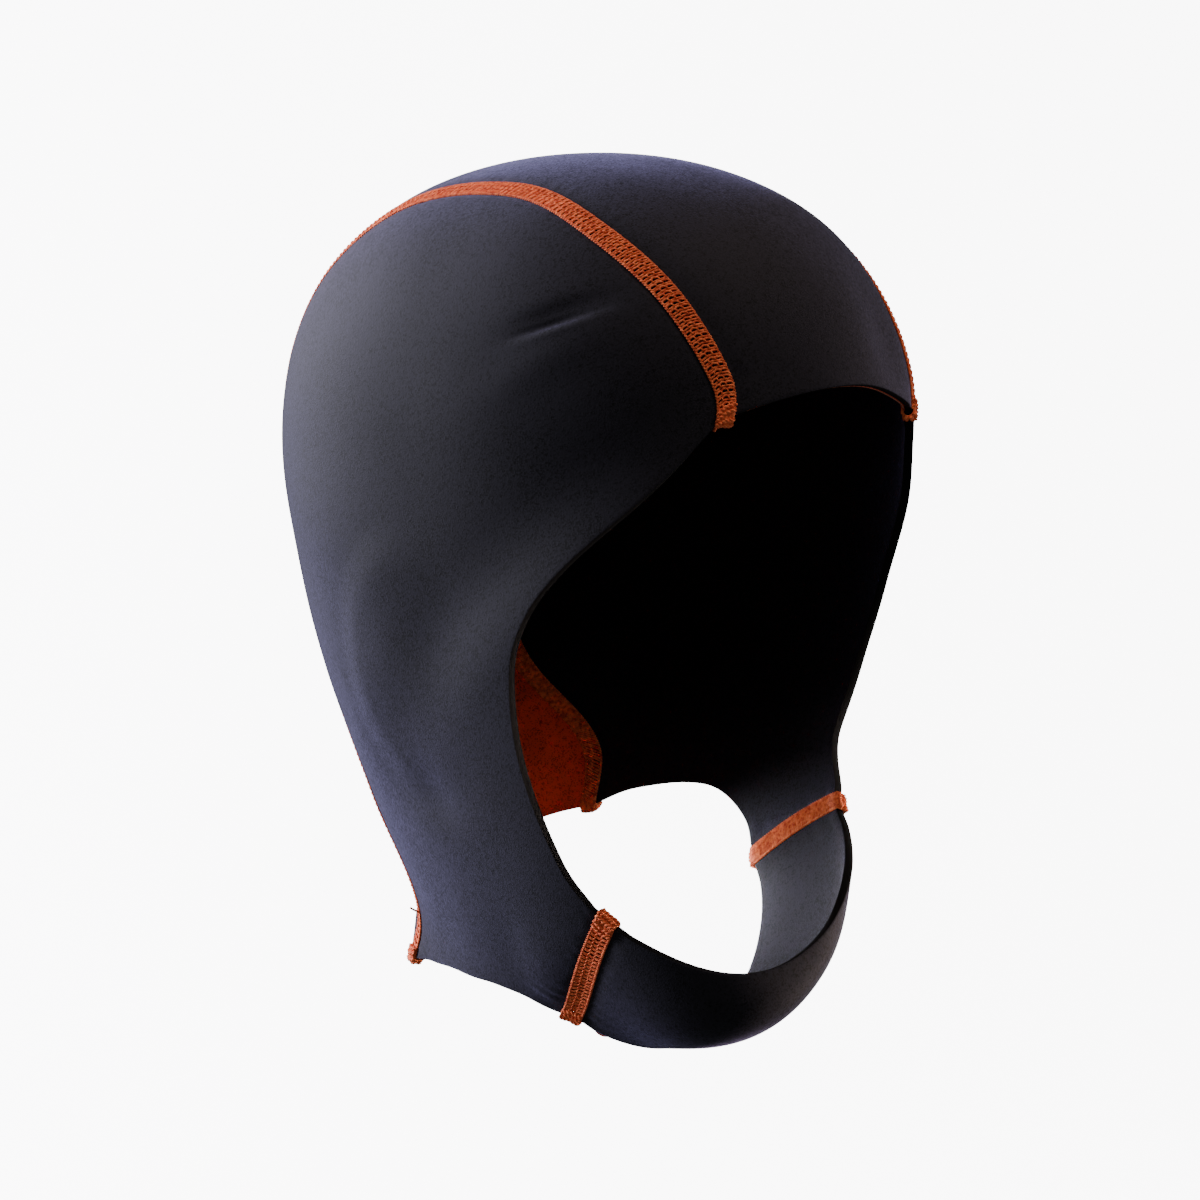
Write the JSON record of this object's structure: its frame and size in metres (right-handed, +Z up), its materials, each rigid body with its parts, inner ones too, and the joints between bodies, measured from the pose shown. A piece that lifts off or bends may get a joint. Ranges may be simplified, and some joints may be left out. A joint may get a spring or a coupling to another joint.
{
  "type": "neoprene swim cap with a chin band",
  "caption": "Soft neoprene cap that covers the head and ears down to the nape, open at the face, with a band under the chin and flat stitched seams.",
  "frame": {"origin": "highest point of the lining, where the top of the head carries the cap", "axes": "+Z up, the wearer faces -Y, +X is the wearer's left"},
  "size_m": [0.1536, 0.1926, 0.2492],
  "materials": {
    "neoprene": "black foam neoprene faced with fine matt jersey",
    "lining": "orange jersey, matt",
    "thread": "orange polyester seam thread, slight sheen"
  },
  "bodies": {
    "root": {"right_panel": "neoprene", "left_panel": "neoprene", "crown_strip": "neoprene", "chin_band": "neoprene", "strip_lining": "lining", "right_crown_seam": "thread", "left_crown_seam": "thread", "right_chin_seam": "thread", "left_chin_seam": "thread"}
  },
  "joints": []
}
